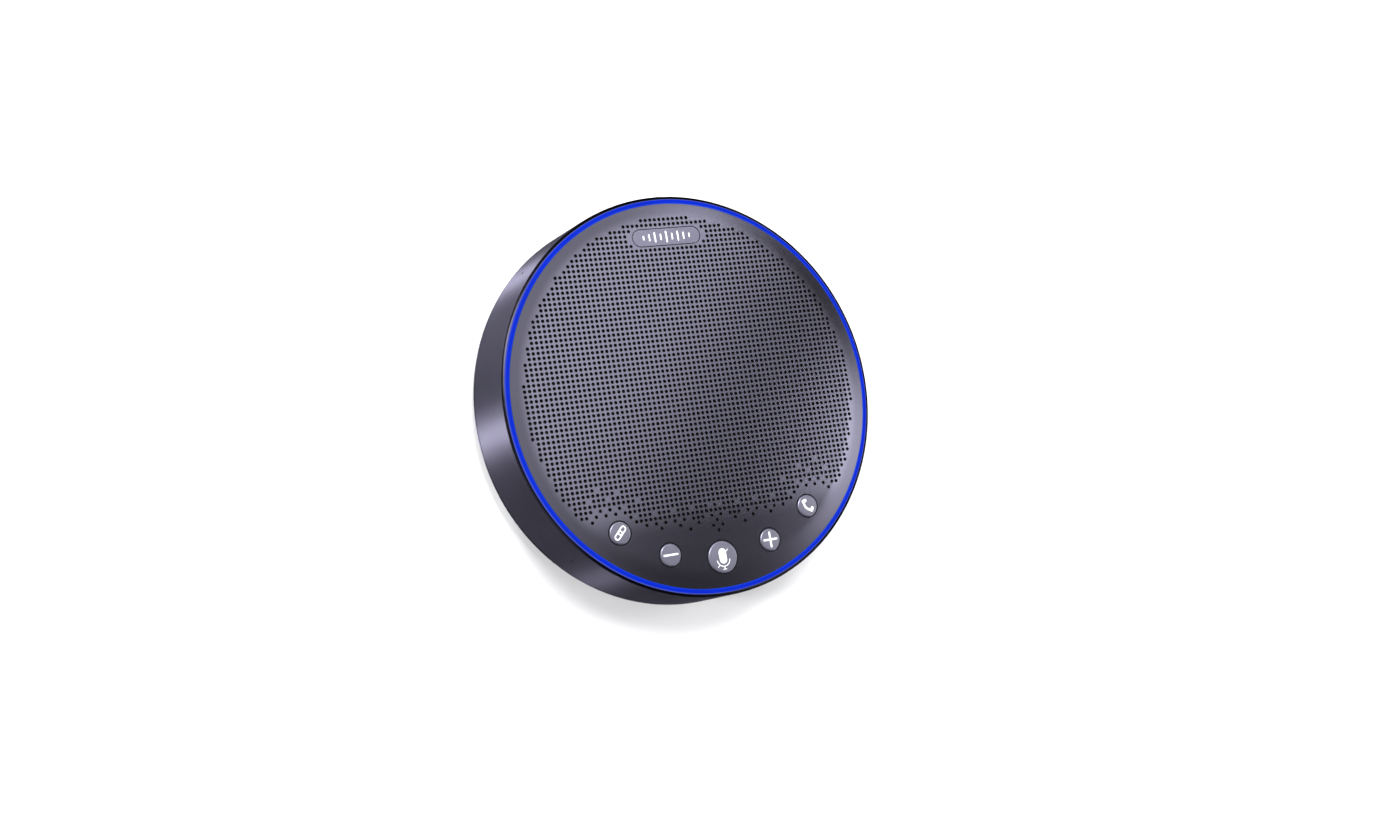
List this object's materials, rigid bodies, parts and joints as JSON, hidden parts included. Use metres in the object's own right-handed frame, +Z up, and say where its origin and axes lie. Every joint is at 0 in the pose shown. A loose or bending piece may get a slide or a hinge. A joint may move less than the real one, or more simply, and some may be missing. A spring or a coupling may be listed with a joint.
{
  "type": "conference speakerphone",
  "caption": "Round tabletop conference speakerphone with a perforated face, glowing rim, touch-feel keys, rear ports and a wireless dongle stowed in its base.",
  "frame": {"origin": "centre of the rubber foot's underside, where the device rests", "axes": "+Z up out of the perforated face, +Y towards the badge and the rear ports, +X to the right as the user sees the face with the keys nearest"},
  "size_m": [0.134, 0.134, 0.032],
  "materials": {
    "case_metal": "satin gunmetal",
    "base_plastic": "matte",
    "foot_rubber": "matte",
    "ring_diffuser": "lit diffuser",
    "face_metal": "satin gunmetal",
    "badge_metal": "satin",
    "acoustic_cloth": "fine weave",
    "key_plastic": "satin",
    "power_key_plastic": "satin",
    "dark_plastic": "moulded",
    "frame_plastic": "moulded",
    "circuit_board": "solder mask",
    "white_board": "solder mask",
    "screw_steel": "zinc plated",
    "led_package": "moulded",
    "basket_metal": "black paint",
    "ferrite": "ground ferrite",
    "plated_steel": "zinc plated",
    "soft_rubber": "moulded",
    "terminal_brass": "tinned",
    "cone_paper": "pressed pulp",
    "spider_cloth": "resin cloth",
    "coil_copper": "enamelled wire",
    "chip_package": "moulded",
    "shield_can": "tin plated",
    "capacitor_sleeve": "sleeve",
    "connector_nylon": "moulded",
    "cell_wrap": "shrink wrap",
    "strap_steel": "spring steel",
    "lead_jacket": "wire jacket",
    "ribbon_film": "polyimide film",
    "capsule_metal": "gold flash",
    "dongle_plastic": "fine texture",
    "dongle_cap_plastic": "satin",
    "plug_steel": "nickel plated",
    "tongue_plastic": "moulded"
  },
  "bodies": {
    "case": {"side_housing": "case_metal", "bottom_cover": "base_plastic", "rubber_foot": "foot_rubber", "light_ring": "ring_diffuser", "face_grille": "face_metal", "badge": "badge_metal", "dust_cloth": "acoustic_cloth", "inner_frame": "frame_plastic", "button_board": "circuit_board", "button_switches": "dark_plastic", "button_board_screws": "screw_steel", "led_board": "white_board", "ring_leds": "led_package", "speaker_basket": "basket_metal", "speaker_magnet": "ferrite", "speaker_yoke": "plated_steel", "speaker_top_plate": "plated_steel", "speaker_gasket": "soft_rubber", "speaker_terminals": "terminal_brass", "speaker_screws": "screw_steel", "surround": "soft_rubber", "spider": "spider_cloth", "main_board": "circuit_board", "main_board_screws": "screw_steel", "processor": "chip_package", "wireless_shield": "shield_can", "capacitors": "capacitor_sleeve", "board_connectors": "connector_nylon", "usb_socket": "shield_can", "audio_jack": "dark_plastic", "power_switch": "dark_plastic", "battery_left": "cell_wrap", "battery_right": "cell_wrap", "battery_straps": "strap_steel", "battery_leads": "lead_jacket", "speaker_leads": "lead_jacket", "button_ribbon": "ribbon_film", "mic_boots": "soft_rubber", "mic_boards": "circuit_board", "mic_capsules": "capsule_metal", "case_screws": "screw_steel"},
    "mute_key": {"mute_button": "key_plastic", "mute_plunger": "dark_plastic"},
    "plus_key": {"plus_button": "key_plastic", "plus_plunger": "dark_plastic"},
    "minus_key": {"minus_button": "key_plastic", "minus_plunger": "dark_plastic"},
    "call_key": {"call_button": "key_plastic", "call_plunger": "dark_plastic"},
    "link_key": {"link_button": "key_plastic", "link_plunger": "dark_plastic"},
    "power_key": {"power_button": "power_key_plastic", "power_plunger": "dark_plastic"},
    "speaker_cone": {"cone": "cone_paper", "voice_coil": "coil_copper", "dust_cap": "cone_paper"},
    "dongle": {"dongle_body": "dongle_plastic", "dongle_end_cap": "dongle_cap_plastic", "dongle_plug_shell": "plug_steel", "dongle_plug_tongue": "tongue_plastic"}
  },
  "joints": [
    {"name": "mute_press", "type": "slide", "parent": "case", "child": "mute_key", "axis": [0, 0, -1], "range_m": [0, 0.0004], "stiffness_N_per_m": 500},
    {"name": "plus_press", "type": "slide", "parent": "case", "child": "plus_key", "axis": [0, 0, -1], "range_m": [0, 0.0004], "stiffness_N_per_m": 500},
    {"name": "minus_press", "type": "slide", "parent": "case", "child": "minus_key", "axis": [0, 0, -1], "range_m": [0, 0.0004], "stiffness_N_per_m": 500},
    {"name": "call_press", "type": "slide", "parent": "case", "child": "call_key", "axis": [0, 0, -1], "range_m": [0, 0.0004], "stiffness_N_per_m": 500},
    {"name": "link_press", "type": "slide", "parent": "case", "child": "link_key", "axis": [0, 0, -1], "range_m": [0, 0.0004], "stiffness_N_per_m": 500},
    {"name": "power_press", "type": "slide", "parent": "case", "child": "power_key", "axis": [0, -1, 0], "range_m": [0, 0.0005], "stiffness_N_per_m": 500},
    {"name": "cone_travel", "type": "slide", "parent": "case", "child": "speaker_cone", "axis": [0, 0, 1], "range_m": [-0.001, 0.001], "stiffness_N_per_m": 1000, "deforming": ["surround", "spider"]},
    {"name": "dongle_slide", "type": "slide", "parent": "case", "child": "dongle", "axis": [1, 0, 0], "range_m": [0, 0.0135]}
  ]
}
